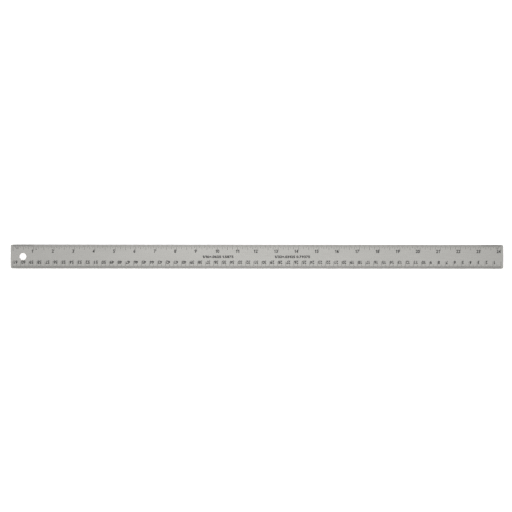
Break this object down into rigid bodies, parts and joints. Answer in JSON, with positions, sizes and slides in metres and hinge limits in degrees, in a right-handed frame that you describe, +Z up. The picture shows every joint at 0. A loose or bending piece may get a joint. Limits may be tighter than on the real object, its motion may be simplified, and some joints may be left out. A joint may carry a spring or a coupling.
{
  "type": "cork backed steel ruler",
  "caption": "Flat steel ruler on a strip of cork, etched in inches along one long edge and in millimetres along the other, with a round hanging hole at one end.",
  "frame": {"origin": "under the middle of the ruler, on the cork's lower face, which is the centre of the bounding box's bottom", "axes": "+X along the blade from the hanging hole's end to the other end, +Y across it to the inch edge, +Z up out of the graduated face"},
  "size_m": [0.616, 0.03, 0.0022],
  "materials": {
    "steel": "satin, brushed along the length, marks filled with black enamel",
    "adhesive": "dull, pale amber",
    "cork": "composition cork, fine granules, dull"
  },
  "bodies": {
    "root": {"steel_blade": "steel", "adhesive_film": "adhesive", "cork_strip": "cork"}
  },
  "joints": []
}
